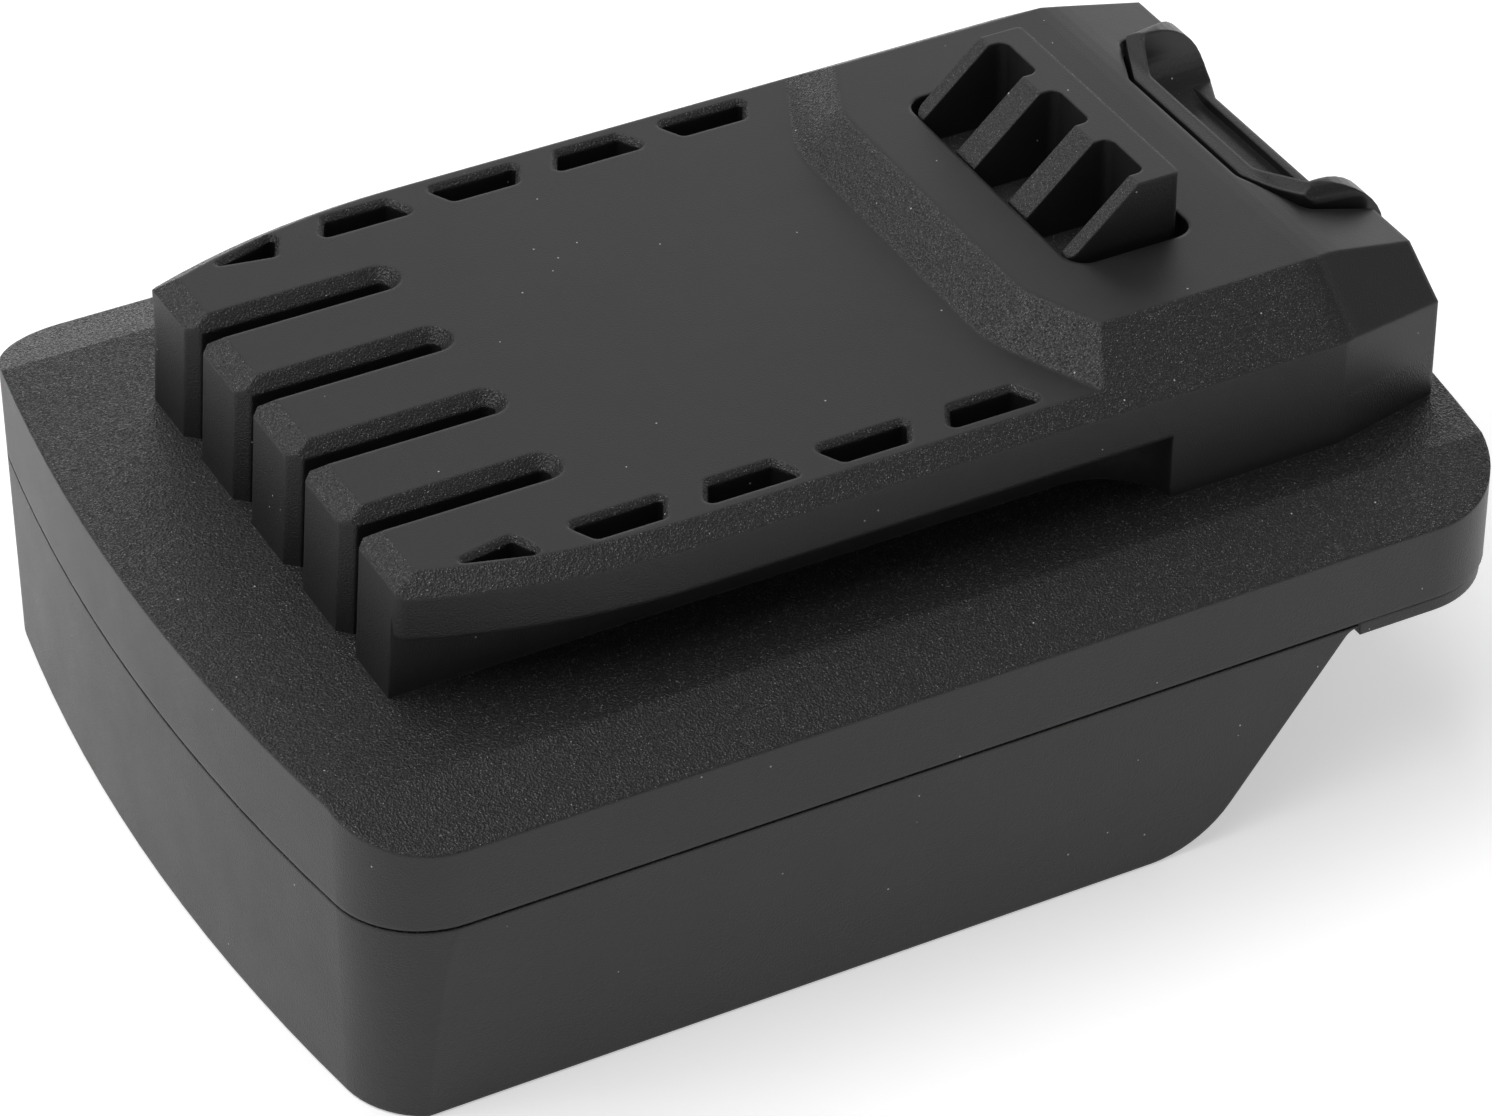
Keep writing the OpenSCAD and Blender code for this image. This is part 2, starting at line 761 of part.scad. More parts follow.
// Cover: one pocket with a soft edge, from its outline at the mouth
module edge_pocket(mouth, radii) {
    over = 0.5;
    shaft = soft_outline(inset(mouth, pocket_edge), [for (r = radii) max(r - pocket_edge, 0.05)], pocket_flats);
    top = soft_outline(inset(mouth, -over), [for (r = radii) r + over], pocket_flats);
    stack([lift(shaft, plate_z - pocket_depth), lift(shaft, plate_z - pocket_edge), lift(top, plate_z + over)]);
}

// Cover: the row of pockets along one edge of the rail plate
module edge_pockets() {
    outer = lip_half - edge_run - pocket_margin;
    inner = outer - pocket_w;
    long = pocket_long / 2;
    short = pocket_short / 2;
    r = pocket_r;
    first_x = finger_x + pocket_start - pocket_pitch;
    for (i = [1 : 4]) {
        x = first_x + i * pocket_pitch;
        inner_l = i % 2 == 1 ? long : short;
        outer_l = i % 2 == 1 ? short : long;
        edge_pocket(
            [[x - inner_l, inner], [x + inner_l, inner], [x + outer_l, outer], [x - outer_l, outer]],
            [r, r, r, r]
        );
    }
    edge_pocket(
        [[first_x - end_pocket_tip, inner + 0.2 * pocket_w], [first_x + 0.75 * short, inner - 0.2 * pocket_w],
            [first_x + 0.88 * long, outer]],
        [0.6 * r, r, r]
    );
}

// Plan of the notch for the button, from the front edge to a given rear edge
function notch_plan(end_x) =
    let (end_half = notch_mid_w / 2 + notch_splay * (end_x - notch_mid_x))
    [
        [notch_x, notch_front_w / 2], [notch_x, -notch_front_w / 2], [notch_mid_x, -notch_mid_w / 2],
        [end_x, -end_half], [end_x, end_half], [notch_mid_x, notch_mid_w / 2]
    ];
notch_radii = [notch_r, notch_r, notch_r, 0, 0, notch_r];

// Cover: bosses for the screws and guides for the latch
module cover_inserts() {
    for (x = [case_screw_front_x, case_screw_rear_x])
        translate([x, case_screw_span / 2, cup_z]) cylinder(h = under_deck_z + sink - cup_z, d = boss_d);
    translate([plate_screw_x, case_screw_span / 2, seam_h])
        cylinder(h = under_deck_z + sink - seam_h, d = boss_d);
    along_z(deck_z + 1, under_block_z + sink)
        span([guide_x, flange_half + run_gap], [guide_x + guide_l, block_in_half + sink]);
}

// Cover: holes that the screws cut their threads in
module cover_pilots() {
    case_pilot_d = case_screw_d + pilot_play;
    small_pilot_d = small_screw_d + pilot_play;
    for (x = [case_screw_front_x, case_screw_rear_x])
        translate([x, case_screw_span / 2, cup_z - 1])
            cylinder(h = deck_z - 1 - cup_z + 1, d = case_pilot_d);
    translate([plate_screw_x, case_screw_span / 2, seam_h - 1])
        cylinder(h = deck_z - seam_h, d = small_pilot_d);
    translate([carrier_screw_x, terminal_pitch, under_deck_z - 1])
        cylinder(h = carrier_screw_l, d = small_pilot_d);
}

module upper_cover() {
    color(plastic_black) difference() {
        union() {
            difference() {
                union() {
                    cover_base();
                    rail_form();
                }
                cover_hollow();
            }
            both_sides() cover_inserts();
        }
        for (i = [0 : terminals - 1]) translate([0, terminal_y(i), 0]) terminal_slot();
        both_sides() {
            edge_pockets();
            cover_pilots();
        }
        along_z(under_block_z - 1, block_z + 1)
            rounded_span([opening_front_x, -opening_half], [opening_rear_x, opening_half], opening_r);
        along_z(under_deck_z - 1, block_z + 1) polygon(soft_outline(notch_plan(notch_end_x), notch_radii, corner_flats));
    }
}

// Side view of the lower housing, with the flanks swept up under the tail
module housing_side() {
    edge_z = seam_h - sweep_edge_t;
    crest_x = tail_x - sweep_top_r * tan(sweep_angle / 2) - 0.1;
    rounded([
        [front_x - 1, 0], [crest_x - edge_z / tan(sweep_angle), 0], [crest_x, edge_z],
        [tail_x, edge_z], [tail_x, seam_h], [front_x - 1, seam_h]
    ], [0, sweep_foot_r, sweep_top_r, 0, 0, 0]);
}

// Ring of the shadow gap, cut into what meets the cover at the seam
module shadow_gap() {
    along_z(seam_h - seam_gap, seam_h + sink) difference() {
        case_outline(-1);
        case_outline(seam_depth);
    }
}

// Tongue that enters the cover's wall from below
module tongue() {
    along_z(seam_h - sink, seam_h + tongue_h) difference() {
        case_outline(wall_t + fit_gap);
        case_outline(wall_t + fit_gap + tongue_t);
    }
}

module lower_housing() {
    foot_half = half_w - flank_draft;
    color(plastic_dark) difference() {
        union() {
            difference() {
                intersection() {
                    along_z(0, seam_h) case_outline();
                    along_x(front_x - 1, rear_x + 1)
                        polygon([[-foot_half, 0], [foot_half, 0], [half_w, seam_h], [-half_w, seam_h]]);
                    along_y(-far, far) housing_side();
                }
                intersection() {
                    along_z(-1, roof_z) case_outline(socket_wall_t);
                    along_x(front_x, rear_x) polygon([
                        [socket_rail_w - socket_half, -1], [socket_half - socket_rail_w, -1],
                        [socket_half - socket_rail_w, socket_rail_t], [socket_half, socket_rail_t],
                        [socket_half, roof_z], [-socket_half, roof_z],
                        [-socket_half, socket_rail_t], [socket_rail_w - socket_half, socket_rail_t]
                    ]);
                }
                shadow_gap();
            }
            intersection() {
                tongue();
                translate([front_x, -far, 0]) cube([tail_x - front_x, 2 * far, far]);
            }
            for (x = [case_screw_front_x, case_screw_rear_x], y = [-1, 1] * case_screw_span / 2)
                translate([x, y, seam_h - sink])
                    cylinder(h = cup_z - seam_h + sink, d = case_screw_head_d + hole_play + 2 * cup_wall);
        }
        for (x = [case_screw_front_x, case_screw_rear_x], y = [-1, 1] * case_screw_span / 2)
            translate([x, y, roof_z - 1]) {
                cylinder(h = case_seat_z - roof_z + 1, d = case_screw_head_d + hole_play);
                cylinder(h = cup_z - roof_z + 2, d = case_screw_d + hole_play);
            }
        for (i = [0 : terminals - 1])
            translate([blade_x - run_gap, blade_y(i) - blade_t / 2 - run_gap, roof_z - 1])
                cube([blade_tail_w + 2 * run_gap, blade_t + 2 * run_gap, roof_t + 2]);
        for (y = [-1, 1] * blade_pitch)
            translate([terminal_screw_x, y, roof_z - 1])
                cylinder(h = roof_t + 2, d = small_screw_d + hole_play);
    }
}

module rear_plate() {
    plate_play = 0.25;
    behind = rear_x - rear_plate_x;
    color(plastic_dark) difference() {
        union() {
            difference() {
                intersection() {
                    along_z(seam_h - rear_plate_t, seam_h) case_outline(plate_play);
                    translate([rear_plate_x, -far, 0]) cube([behind, 2 * far, far]);
                }
                shadow_gap();
            }
            intersection() {
                tongue();
                both_sides() translate([rear_plate_x, skirt_half + 2, 0]) cube([behind, far, far]);
            }
            for (y = [-1, 1] * spring_y)
                translate([spring_x, y, seam_h - sink]) cylinder(h = spring_post_h + sink, d = spring_post_d);
        }
        translate([catch_x, -catch_w / 2, 0]) cube([catch_l, catch_w, far]);
        for (y = [-1, 1] * case_screw_span / 2)
            translate([plate_screw_x, y, seam_h - rear_plate_t]) flat_screw_seat(hole_play);
    }
}

// Cone and shank of a flush screw, grown all round for its hole
module flat_screw_seat(play) {
    head_r = (small_head_d + play) / 2;
    shank_r = (small_screw_d + play) / 2;
    translate([0, 0, -1]) cylinder(h = 1, r = head_r);
    cylinder(h = head_r - shank_r, r1 = head_r, r2 = shank_r);
    cylinder(h = far, r = shank_r);
}

module latch() {
    top_x = latch_x - latch_top_l;
    groove_end_x = top_x + groove_run;
    color(plastic_black) difference() {
        union() {
            intersection() {
                along_y(-far, far) rounded([
                    [latch_front_x, flange_z], [latch_x, flange_z], [latch_x, latch_z], [top_x, latch_z],
                    [latch_front_x, ramp_foot_z]
                ], [0, 0, latch_soft_r, latch_soft_r, latch_soft_r]);
                along_z(flange_z, latch_z)
                    rounded_span([latch_front_x, -latch_w / 2], [latch_x, latch_w / 2], latch_corner_r);
            }
            along_z(flange_z, flange_top_z)
                rounded_span([flange_front_x, -flange_half], [notch_x, flange_half], opening_r);
        }
        for (y = [-1, 0, 1] * groove_pitch)
            along_z(flange_top_z, latch_z + 1) rounded([
                [latch_front_x - 1, y - groove_w / 2], [groove_end_x, y - groove_w / 2],
                [groove_end_x, y + groove_w / 2], [latch_front_x - 1, y + groove_w / 2]
            ], [0, groove_r, groove_r, 0]);
        for (y = [-1, 1] * stake_y)
            translate([stake_x, y, flange_z - 1]) cylinder(h = flange_t + 2, d = stake_d + 2 * fit_gap);
    }
}

// Button: the space that the thumb takes
module thumb_scoop() {
    half = scoop_w / 2;
    high = ear_z + 1;
    top_half = half + scoop_flare * (high - scoop_z);
    side = corner_line([0, scoop_z], [half, scoop_z], [top_half, high], scoop_r, arc_flats);
    mirrored = [for (k = [len(side) - 1 : -1 : 0]) [-side[k][0], side[k][1]]];
    difference() {
        intersection() {
            along_z(button_under_z, high)
                polygon(soft_outline(inset(notch_plan(rear_x + 5), button_gap + rim_w), notch_radii, corner_flats));
            along_x(notch_x, rear_x + 1) polygon(concat(side, [[top_half, high], [-top_half, high]], mirrored));
        }
        translate([thumb_x - thumb_edge_t, -far, scoop_z - 1]) cube([far, 2 * far, thumb_edge_h + 1]);
    }
}

// Button: side view with the ears' round backs
module button_side() {
    top = [ear_start_x + ear_slope_l, ear_z];
    foot = [ear_start_x, rim_z];
    corner = [ear_x, ear_z];
    low = [ear_x, button_under_z + ear_x - button_rear_x];
    polygon(concat(
        [[notch_x, button_under_z], [button_rear_x, button_under_z], low],
        corner_line(low, corner, top, ear_r, arc_flats),
        corner_line(corner, top, foot, ear_soft_r, 3),
        corner_line(top, foot, [notch_x, rim_z], ear_soft_r, 3),
        [[notch_x, rim_z]]
    ));
}

// Button: waste along the outer edge of one ear
module ear_waste() {
    flats = 4;
    edge = corner_line([0, ear_z - 5], [0, ear_z], [-5, ear_z], ear_edge_r, flats);
    translate([notch_mid_x, ear_wall_y, 0]) rotate([0, 0, atan(notch_splay)]) along_x(-4, 12) polygon(concat(
        [2 * edge[0] - edge[1], [1, ear_z + 1], 2 * edge[flats] - edge[flats - 1]],
        [for (k = [flats : -1 : 0]) edge[k]]
    ));
}

// Button: waste behind the thumb edge, between the ears
module thumb_waste() {
    reach = rear_x + 1 - thumb_x;
    along_z(button_under_z - 1, ear_z + 1) polygon([
        [thumb_x, -thumb_half], [thumb_x + reach, -thumb_half - thumb_splay * reach],
        [thumb_x + reach, thumb_half + thumb_splay * reach], [thumb_x, thumb_half]
    ]);
}

module release_button() {
    color(plastic_black) {
        difference() {
            intersection() {
                along_z(button_under_z, ear_z)
                    polygon(soft_outline(inset(notch_plan(ear_x + 2), button_gap), notch_radii, corner_flats));
                along_y(-far, far) button_side();
            }
            thumb_scoop();
            both_sides() ear_waste();
            thumb_waste();
        }
        along_z(skirt_z, button_under_z + sink)
            span([button_rear_x - button_t, -skirt_half], [button_rear_x, skirt_half]);
        along_z(button_under_z, flange_z)
            span([button_foot_x, -button_foot_half], [notch_x + button_gap + rim_w / 2, button_foot_half]);
        for (y = [-1, 1] * stake_y)
            translate([stake_x, y, flange_z - sink]) cylinder(h = flange_t, d = stake_d);
        for (y = [-1, 1] * spring_y)
            translate([spring_x, y, button_under_z - spring_boss_h])
                cylinder(h = spring_boss_h + sink, d = spring_post_d);
    }
}

// Centre line of a latch spring and its direction
spring_l = button_under_z - seam_h;
spring_mid_r = (spring_d - spring_wire) / 2;
spring_rise = spring_l - spring_wire;
spring_steps = spring_turns * spring_rings;
spring_line = [
    for (i = [0 : spring_steps])
        let (a = 360 * i / spring_rings)
        [spring_mid_r * cos(a), spring_mid_r * sin(a), seam_h + spring_wire / 2 + spring_rise * i / spring_steps]
];
spring_way = [
    for (i = [0 : spring_steps])
        let (a = 360 * i / spring_rings)
        [-sin(a), cos(a), spring_rise / (spring_turns * 2 * PI * spring_mid_r)]
];
spring_self_gap = min([
    for (i = [0 : spring_steps], j = [0 : spring_steps])
        if (j - i > spring_rings / 2) norm(spring_line[i] - spring_line[j]) - spring_wire
]);
echo(str("Least gap of a latch spring to itself: ", spring_self_gap, " mm"));

module latch_spring(side) {
    color(steel) translate([spring_x, side * spring_y, 0])
        tube(spring_line, spring_way, spring_wire / 2, spring_sides);
}

module contact_carrier() {
    color(plastic_inner) difference() {
        union() {
            along_z(carrier_z, under_deck_z)
                rounded_span([carrier_x, -carrier_half], [carrier_end_x, carrier_half], 2);
            for (i = [0 : terminals - 1])
                along_z(under_deck_z - sink, clip_z) span(
                    [chamber_x + run_gap, terminal_y(i) - chamber_half + run_gap],
                    [chamber_end_x - run_gap, terminal_y(i) + chamber_half - run_gap]
                );
        }
        for (i = [0 : terminals - 1])
            translate([clip_back_x - fit_gap, terminal_y(i) - clip_tail_w / 2 - fit_gap, carrier_z - 1])
                cube([clip_t + 2 * fit_gap, clip_tail_w + 2 * fit_gap, far]);
        for (y = [-1, 1] * terminal_pitch)
            translate([carrier_screw_x, y, carrier_z - 1])
                cylinder(h = carrier_t + 2, d = small_screw_d + hole_play);
    }
}

// Spring clip: a back, two jaws that close on the tool's blade, and a tail for the wire
module clip(i) {
    jaw_x = clip_front_x + 3;
    mouth = clip_jaw / 2 + 1;
    color(copper_tin) translate([0, terminal_y(i), 0]) {
        along_z(clip_z, clip_z + clip_h) {
            span([clip_back_x, -clip_half], [clip_back_x + clip_t, clip_half]);
            both_sides() polygon([
                [clip_back_x + clip_t, clip_half], [clip_back_x, clip_half],
                [jaw_x, clip_jaw / 2 + clip_t], [clip_front_x, mouth + clip_t], [clip_front_x, mouth],
                [jaw_x, clip_jaw / 2], [clip_back_x, clip_half - clip_t], [clip_back_x + clip_t, clip_half - clip_t]
            ]);
        }
        along_z(wire_z - power_wire_d / 2, clip_z + sink)
            span([clip_back_x, -clip_tail_w / 2], [clip_back_x + clip_t, clip_tail_w / 2]);
    }
}

module terminal_block() {
    color(plastic_inner) difference() {
        along_z(terminal_block_z, roof_z) rounded_span(
            [terminal_block_x, -terminal_block_half], [terminal_block_end_x, terminal_block_half], 1.5
        );
        for (i = [0 : terminals - 1]) {
            half = blade_t / 2 + fit_gap;
            translate([0, blade_y(i), 0]) along_y(-half, half) {
                span([blade_x - fit_gap, blade_z - fit_gap], [far, blade_z + blade_h + fit_gap]);
                span([blade_x - fit_gap, blade_z], [blade_tail_x + fit_gap, far]);
            }
        }
        for (y = [-1, 1] * blade_pitch)
            translate([terminal_screw_x, y, roof_z + roof_t - terminal_screw_l - 1])
                cylinder(h = far, d = small_screw_d + pilot_play);
    }
}

// Blade for the battery's terminal, with a tail that goes up through the partition
module blade(i) {
    tip = 1.2;
    color(copper_tin) translate([0, blade_y(i), 0]) along_y(-blade_t / 2, blade_t / 2) polygon([
        [blade_x, blade_z], [blade_end_x - tip, blade_z], [blade_end_x, blade_z + tip],
        [blade_end_x, blade_z + blade_h - tip], [blade_end_x - tip, blade_z + blade_h],
        [blade_tail_x, blade_z + blade_h], [blade_tail_x, tail_top_z], [blade_x, tail_top_z]
    ]);
}

// Wire from a blade's tail to a clip's tail, square to both
module wire(i) {
    start = [blade_tail_x, blade_y(i), wire_z];
    end = [clip_back_x, terminal_y(i), wire_z];
    line = [
        for (k = [0 : wire_rings - 1])
            let (s = k / (wire_rings - 1), ease = s * s * (3 - 2 * s), lift = wire_bow * sin(180 * s) ^ 2)
            [start[0] + (end[0] - start[0]) * s, start[1] + (end[1] - start[1]) * ease, wire_z - lift]
    ];
    way = [
        for (k = [0 : wire_rings - 1])
            k == 0 || k == wire_rings - 1 ? [1, 0, 0] : line[k + 1] - line[k - 1]
    ];
    color(wire_colours[i]) tube(line, way, wire_r(i), wire_sides);
}

// Pan-head screw, pointing up, with its head below the seat and a cross recess
module pan_screw(head_d, head_h, shank_d, shank_l) {
    tip = shank_d / 2;
    recess = [head_d * 0.6, head_d * 0.15, head_h * 0.5];
    difference() {
        translate([0, 0, -head_h]) cylinder(h = head_h, d = head_d);
        for (turn = [0, 90])
            rotate([0, 0, turn]) translate([0, 0, -head_h])
                cube([recess[0], recess[1], 2 * recess[2]], center = true);
    }
    translate([0, 0, -sink]) cylinder(h = shank_l - tip + sink, d = shank_d);
    translate([0, 0, shank_l - tip]) cylinder(h = tip, d1 = shank_d, d2 = shank_d / 3);
}

module case_screws() {
    length = deck_z - screw_cover - case_seat_z;
    color(steel) for (x = [case_screw_front_x, case_screw_rear_x], y = [-1, 1] * case_screw_span / 2)
        translate([x, y, case_seat_z]) pan_screw(case_screw_head_d, case_screw_head_h, case_screw_d, length);
}

module rear_plate_screws() {
    head_r = small_head_d / 2;
    shank_r = small_screw_d / 2;
    length = deck_z - 1.5 * screw_cover - seam_h;
    recess = [small_head_d * 0.6, small_head_d * 0.15, 1];
    color(steel) for (y = [-1, 1] * case_screw_span / 2)
        translate([plate_screw_x, y, seam_h - rear_plate_t + hole_play / 2]) difference() {
            union() {
                cylinder(h = head_r - shank_r, r1 = head_r, r2 = shank_r);
                cylinder(h = length, r = shank_r);
            }
            for (turn = [0, 90]) rotate([0, 0, turn]) cube(recess, center = true);
        }
}

module carrier_screws() {
    color(steel) for (y = [-1, 1] * terminal_pitch)
        translate([carrier_screw_x, y, carrier_z])
            pan_screw(small_head_d, small_head_h, small_screw_d, carrier_screw_l);
}

module terminal_screws() {
    color(steel) for (y = [-1, 1] * blade_pitch)
        translate([terminal_screw_x, y, seam_h]) rotate([180, 0, 0])
            pan_screw(small_head_d, small_head_h, small_screw_d, terminal_screw_l);
}

upper_cover();
lower_housing();
rear_plate();
latch();
release_button();
latch_spring(1);  // latch_spring_left
latch_spring(-1);  // latch_spring_right
contact_carrier();
clip(0);  // clip_positive
clip(1);  // clip_temperature
clip(2);  // clip_identity
clip(3);  // clip_negative
terminal_block();
blade(0);  // blade_positive
blade(1);  // blade_temperature
blade(2);  // blade_identity
blade(3);  // blade_negative
wire(0);  // wire_positive
wire(1);  // wire_temperature
wire(2);  // wire_identity
wire(3);  // wire_negative
case_screws();
rear_plate_screws();
carrier_screws();
terminal_screws();
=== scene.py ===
"""Studio scene of the tool battery adapter: camera, light, stage and procedural materials."""

import math

import bpy
from mathutils import Matrix, Vector


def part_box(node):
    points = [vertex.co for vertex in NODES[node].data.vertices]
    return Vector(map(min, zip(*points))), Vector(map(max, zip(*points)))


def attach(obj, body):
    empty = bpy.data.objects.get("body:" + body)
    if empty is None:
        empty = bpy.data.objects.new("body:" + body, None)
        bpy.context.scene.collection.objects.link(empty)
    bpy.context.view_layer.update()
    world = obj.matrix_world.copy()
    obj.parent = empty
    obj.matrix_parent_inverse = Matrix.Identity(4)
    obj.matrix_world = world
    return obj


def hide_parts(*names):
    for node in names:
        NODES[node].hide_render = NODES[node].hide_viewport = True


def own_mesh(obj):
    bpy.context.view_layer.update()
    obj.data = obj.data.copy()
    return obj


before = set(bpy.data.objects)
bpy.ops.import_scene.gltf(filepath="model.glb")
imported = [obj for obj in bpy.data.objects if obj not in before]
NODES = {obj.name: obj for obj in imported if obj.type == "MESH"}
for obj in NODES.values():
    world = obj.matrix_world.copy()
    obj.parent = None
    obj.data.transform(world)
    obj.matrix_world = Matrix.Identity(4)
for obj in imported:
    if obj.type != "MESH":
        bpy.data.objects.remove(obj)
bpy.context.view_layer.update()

MM = 0.001


class Graph:
    """A material's node tree, with short calls to add and join nodes."""

    def __init__(self, name):
        self.material = bpy.data.materials.new(name)
        self.material.use_nodes = True
        self.tree = self.material.node_tree
        self.tree.nodes.clear()

    def add(self, kind, inputs=None, **settings):
        node = self.tree.nodes.new(kind)
        for key, value in settings.items():
            setattr(node, key, value)
        for key, value in (inputs or {}).items():
            self.feed(node, key, value)
        return node

    def feed(self, node, key, value):
        socket = node.inputs[key]
        if isinstance(value, bpy.types.NodeSocket):
            self.tree.links.new(value, socket)
        elif isinstance(value, bpy.types.Node):
            self.tree.links.new(value.outputs[0], socket)
        else:
            socket.default_value = value

    def math(self, operation, a, b=0.0, clamp=False):
        node = self.add("ShaderNodeMath", {0: a, 1: b}, operation=operation)
        node.use_clamp = clamp
        return node.outputs[0]

    def step(self, value, low, high):
        """Smooth step from 0 at low to 1 at high."""
        node = self.add("ShaderNodeMapRange", {"Value": value}, interpolation_type="SMOOTHSTEP")
        node.inputs["From Min"].default_value = low
        node.inputs["From Max"].default_value = high
        return node.outputs["Result"]

    def spread(self, value, low, high):
        """Value from 0..1 to low..high."""
        node = self.add("ShaderNodeMapRange", {"Value": value})
        node.inputs["To Min"].default_value = low
        node.inputs["To Max"].default_value = high
        return node.outputs["Result"]

    def noise(self, place, size_mm, detail=2.0, roughness=0.5):
        """Noise whose features are about size_mm across."""
        node = self.add("ShaderNodeTexNoise", {"Vector": place})
        node.inputs["Scale"].default_value = 1.0 / (size_mm * MM)
        node.inputs["Detail"].default_value = detail
        node.inputs["Roughness"].default_value = roughness
        return node.outputs[0]

    def blend(self, factor, a, b):
        node = self.add("ShaderNodeMix", data_type="RGBA")
        self.feed(node, "Factor", factor)
        for index, value in ((6, a), (7, b)):
            if isinstance(value, bpy.types.NodeSocket):
                self.tree.links.new(value, node.inputs[index])
            else:
                node.inputs[index].default_value = (*value, 1.0)
        return node.outputs[2]

    def bump(self, height, strength, depth_mm, normal=None):
        """Normal tilted by a height, which is depth_mm high where it is 1."""
        inputs = {"Height": height, "Strength": strength, "Distance": depth_mm * MM}
        if normal is not None:
            inputs["Normal"] = normal
        return self.add("ShaderNodeBump", inputs).outputs[0]

    def surface(self, colour, rough, normal):
        """Principled shader with a colour, a roughness and a normal."""
        inputs = {"Base Color": colour, "Roughness": rough, "Normal": normal}
        return self.add("ShaderNodeBsdfPrincipled", inputs)

    def finish(self, shader):
        out = self.add("ShaderNodeOutputMaterial")
        self.tree.links.new(shader.outputs[0], out.inputs["Surface"])
        return self.material


def shade(tone, gain, offset=0.0):
    """Tone made lighter or darker, up to white."""
    return tuple(min(1.0, c * gain + offset) for c in tone)


def specks(g, place, cell_mm, radius_mm, share):
    """Mask of scattered dust grains: one in some of the cells."""
    cells = g.add("ShaderNodeTexVoronoi", {"Vector": place}, feature="F1")
    cells.inputs["Scale"].default_value = 1.0 / (cell_mm * MM)
    near = g.math("LESS_THAN", cells.outputs["Distance"], radius_mm / cell_mm)
    chance = g.add("ShaderNodeSeparateColor", {"Color": cells.outputs["Color"]})
    return g.math("MULTIPLY", near, g.math("LESS_THAN", chance.outputs["Red"], share))


# Outer edges: how open a point is, from sheltered to free, how far its normal turns, from flat to edge,
# and the share of the rounding that sheltered edges get
OPEN_RANGE = (0.72, 0.95)
TURN_RANGE = (0.01, 0.2)
SHELTERED_SHARE = 0.12
OPEN_SAMPLES = 4
BEVEL_SAMPLES = 6


def edge_mask(g, radius_mm):
    """Mask of the outer edges, from how far a rounded normal turns away, and that normal."""
    reach = 2.0 * radius_mm * MM
    shelter = g.add(
        "ShaderNodeAmbientOcclusion", {"Distance": reach}, samples=OPEN_SAMPLES, only_local=True)
    outer = g.step(shelter.outputs["AO"], *OPEN_RANGE)
    radius = g.spread(outer, SHELTERED_SHARE * radius_mm * MM, radius_mm * MM)
    rounded = g.add("ShaderNodeBevel", {"Radius": radius}, samples=BEVEL_SAMPLES)
    flat = g.add("ShaderNodeNewGeometry").outputs["Normal"]
    dot = g.add("ShaderNodeVectorMath", {0: rounded.outputs[0], 1: flat}, operation="DOT_PRODUCT")
    turned = g.step(g.math("SUBTRACT", 1.0, dot.outputs["Value"]), *TURN_RANGE)
    return g.math("MULTIPLY", turned, outer), rounded.outputs[0]


# Plastic, noises: size of the features in millimetres, detail, roughness
PITS = (0.19, 1.0, 0.45)
SKIN = (0.13, 1.0, 0.5)
# The next noise places the painted glints, highlights painted into the tone
PAINTED_GLINT_NOISE = (0.11, 1.0, 0.5)
CLOUDS = (16.0, 3.0, 0.55)
HANDLING = (6.0, 3.0, 0.6)

# Plastic, dust
MOTE_CELL_MM = 1.2
MOTE_RADIUS_MM = 0.08
MOTE_TONE = (0.60, 0.58, 0.54)
MOTE_COVER = 0.8
MOTE_DULL = 0.3

# Plastic, faces: from walls to slopes, from slopes to level ones, and the fades into polished ones
SLOPE_FACING = (0.12, 0.30)
LEVEL_FACING = (0.93, 0.972)
REAR_FADE_MM = 4.0
HIGH_FADE_MM = 0.5
REAR_DROP_MM = 6.0

# Plastic, tone: gain of the clouds, and gain and offset of worn edges, of the painted highlights on the
# crests of the grain and of the painted glints
CLOUD_GAIN = (0.82, 1.18)
WORN_SHADE = (2.0, 0.012)
WORN_SHARE = 0.5
PAINTED_CREST_TONE = (1.6, 0.009)
PAINTED_CREST_RANGE = (0.48, 0.74)
PAINTED_GLINT_TONE = (4.0, 0.24)
PAINTED_GLINT_RANGE = (0.67, 0.75)

# Plastic, gloss and relief
FULL_GRAIN_MM = 0.11
PIT_DULL = 0.75
HANDLING_DULL = 0.05
POLISHED_SKIN = 0.35
PLASTIC_SPECULAR = 0.44


def polished(g, place, facing, polish):
    """Mask of the polished faces: level ones above a height, and the rear behind a place along X."""
    height, rear_x = polish
    along = g.add("ShaderNodeSeparateXYZ", {0: place})
    level = g.step(facing, *LEVEL_FACING)
    high = g.step(along.outputs["Z"], (height - HIGH_FADE_MM) * MM, height * MM)
    rear = g.step(along.outputs["X"], (rear_x - REAR_FADE_MM) * MM, rear_x * MM)
    low = height - REAR_DROP_MM
    raised = g.step(along.outputs["Z"], (low - HIGH_FADE_MM) * MM, low * MM)
    return g.math("MAXIMUM", g.math("MULTIPLY", level, high), g.math("MULTIPLY", rear, raised))


def plastic_colour(g, place, tone, pits, sparkle, edges, motes):
    """Tone with clouds, worn edges, painted highlights on the crests of the grain, painted glints and
    dust.
    """
    tint = g.add("ShaderNodeVectorMath", {0: tone}, operation="SCALE")
    g.feed(tint, "Scale", g.spread(g.noise(place, *CLOUDS), *CLOUD_GAIN))
    worn = g.math("MULTIPLY", edges, WORN_SHARE)
    colour = g.blend(worn, tint.outputs[0], shade(tone, *WORN_SHADE))
    # Painted highlight: the crests of the grain get a lighter tone that stands in for sparkle of light
    painted_crest_highlight = g.math("MULTIPLY", g.step(pits, *PAINTED_CREST_RANGE), sparkle)
    colour = g.blend(painted_crest_highlight, colour, shade(tone, *PAINTED_CREST_TONE))
    # Painted highlight: scattered glints of the grain get a much lighter tone
    painted_glint = g.math("MULTIPLY", g.step(g.noise(place, *PAINTED_GLINT_NOISE), *PAINTED_GLINT_RANGE), sparkle)
    colour = g.blend(painted_glint, colour, shade(tone, *PAINTED_GLINT_TONE))
    return g.blend(g.math("MULTIPLY", motes, MOTE_COVER), colour, MOTE_TONE)


